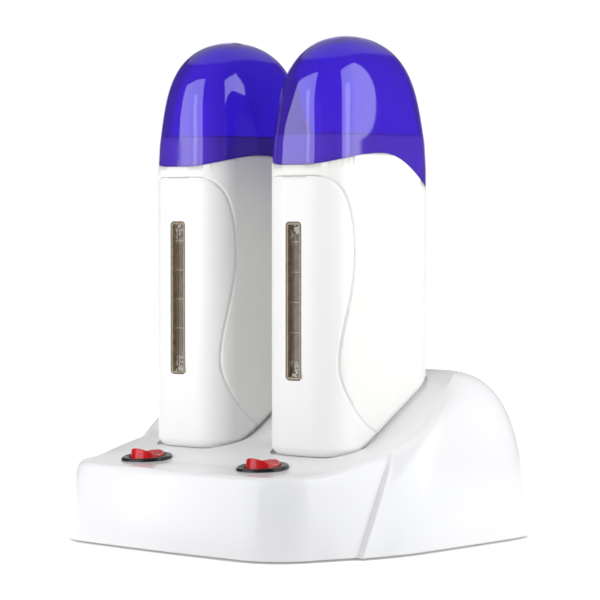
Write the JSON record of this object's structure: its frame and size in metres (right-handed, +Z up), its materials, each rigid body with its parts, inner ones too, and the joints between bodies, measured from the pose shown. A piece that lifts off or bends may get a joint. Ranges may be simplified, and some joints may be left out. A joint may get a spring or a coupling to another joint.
{
  "type": "roll-on wax heater",
  "caption": "Desk base with two lift-out hand-held wax heaters under see-through caps, each with its own rocker switch in the sloped front deck.",
  "frame": {"origin": "centre of the footprint on the ground the feet stand on", "axes": "+Z up, the switches and windows face -Y, the heaters stand side by side along X; the base is symmetric about the YZ plane"},
  "size_m": [0.1768, 0.1664, 0.2257],
  "materials": {
    "white_shell": "gloss",
    "white_floor": "matte",
    "black_rubber": "matte",
    "zinc_steel": "satin",
    "black_rubber_gland": "matte",
    "ivory_plastic": "matte",
    "terminal_steel": "satin",
    "brown_wire": "satin",
    "black_switch": "gloss",
    "switch_brass": "satin",
    "red_rocker": "gloss",
    "black_block": "matte",
    "pin_brass": "satin",
    "blue_wire": "satin",
    "white_casing": "satin",
    "white_cover": "satin",
    "smoky_lens": "gloss, clear smoky brown",
    "well_aluminium": "satin",
    "white_ring": "satin",
    "element_ceramic": "matte",
    "strap_steel": "satin",
    "cutout_black": "matte",
    "socket_black": "matte",
    "sleeve_brass": "satin",
    "red_wire": "satin",
    "cover_steel": "satin",
    "violet_cap": "gloss, see-through"
  },
  "bodies": {
    "base": {"base_shell": "white_shell", "base_plate": "white_floor", "feet": "black_rubber", "base_screws": "zinc_steel", "cord_gland": "black_rubber_gland", "terminal_block": "ivory_plastic", "terminal_screws": "terminal_steel", "mains_wires": "brown_wire", "switch_housing_left": "black_switch", "switch_housing_right": "black_switch", "switch_terminals_left": "switch_brass", "switch_terminals_right": "switch_brass", "pin_block_left": "black_block", "pin_block_right": "black_block", "contact_pins_left": "pin_brass", "contact_pins_right": "pin_brass", "switch_wires_left": "blue_wire", "switch_wires_right": "blue_wire"},
    "rocker_left": {"rocker_left": "red_rocker"},
    "heater_left": {"casing_left": "white_casing", "front_cover_left": "white_cover", "window_lens_left": "smoky_lens", "wax_well_left": "well_aluminium", "guide_ring_left": "white_ring", "heating_element_left": "element_ceramic", "element_strap_left": "strap_steel", "thermal_cutout_left": "cutout_black", "socket_block_left": "socket_black", "contact_sleeves_left": "sleeve_brass", "heater_wires_left": "red_wire", "cover_screws_left": "cover_steel"},
    "cap_left": {"cap_left": "violet_cap"},
    "rocker_right": {"rocker_right": "red_rocker"},
    "heater_right": {"casing_right": "white_casing", "front_cover_right": "white_cover", "window_lens_right": "smoky_lens", "wax_well_right": "well_aluminium", "guide_ring_right": "white_ring", "heating_element_right": "element_ceramic", "element_strap_right": "strap_steel", "thermal_cutout_right": "cutout_black", "socket_block_right": "socket_black", "contact_sleeves_right": "sleeve_brass", "heater_wires_right": "red_wire", "cover_screws_right": "cover_steel"},
    "cap_right": {"cap_right": "violet_cap"}
  },
  "joints": [
    {"name": "rocker_left_tilt", "type": "hinge", "parent": "base", "child": "rocker_left", "pos_m": [-0.03575, -0.05421, 0.03659], "axis": [1, 0, 0], "range_deg": [0, 21]},
    {"name": "rocker_right_tilt", "type": "hinge", "parent": "base", "child": "rocker_right", "pos_m": [0.03575, -0.05421, 0.03659], "axis": [1, 0, 0], "range_deg": [0, 21]},
    {"name": "heater_left_lift", "type": "slide", "parent": "base", "child": "heater_left", "axis": [0, 0, 1], "range_m": [0, 0.06]},
    {"name": "heater_right_lift", "type": "slide", "parent": "base", "child": "heater_right", "axis": [0, 0, 1], "range_m": [0, 0.06]},
    {"name": "cap_left_lift", "type": "slide", "parent": "heater_left", "child": "cap_left", "axis": [0, 0, 1], "range_m": [0, 0.045]},
    {"name": "cap_right_lift", "type": "slide", "parent": "heater_right", "child": "cap_right", "axis": [0, 0, 1], "range_m": [0, 0.045]}
  ]
}
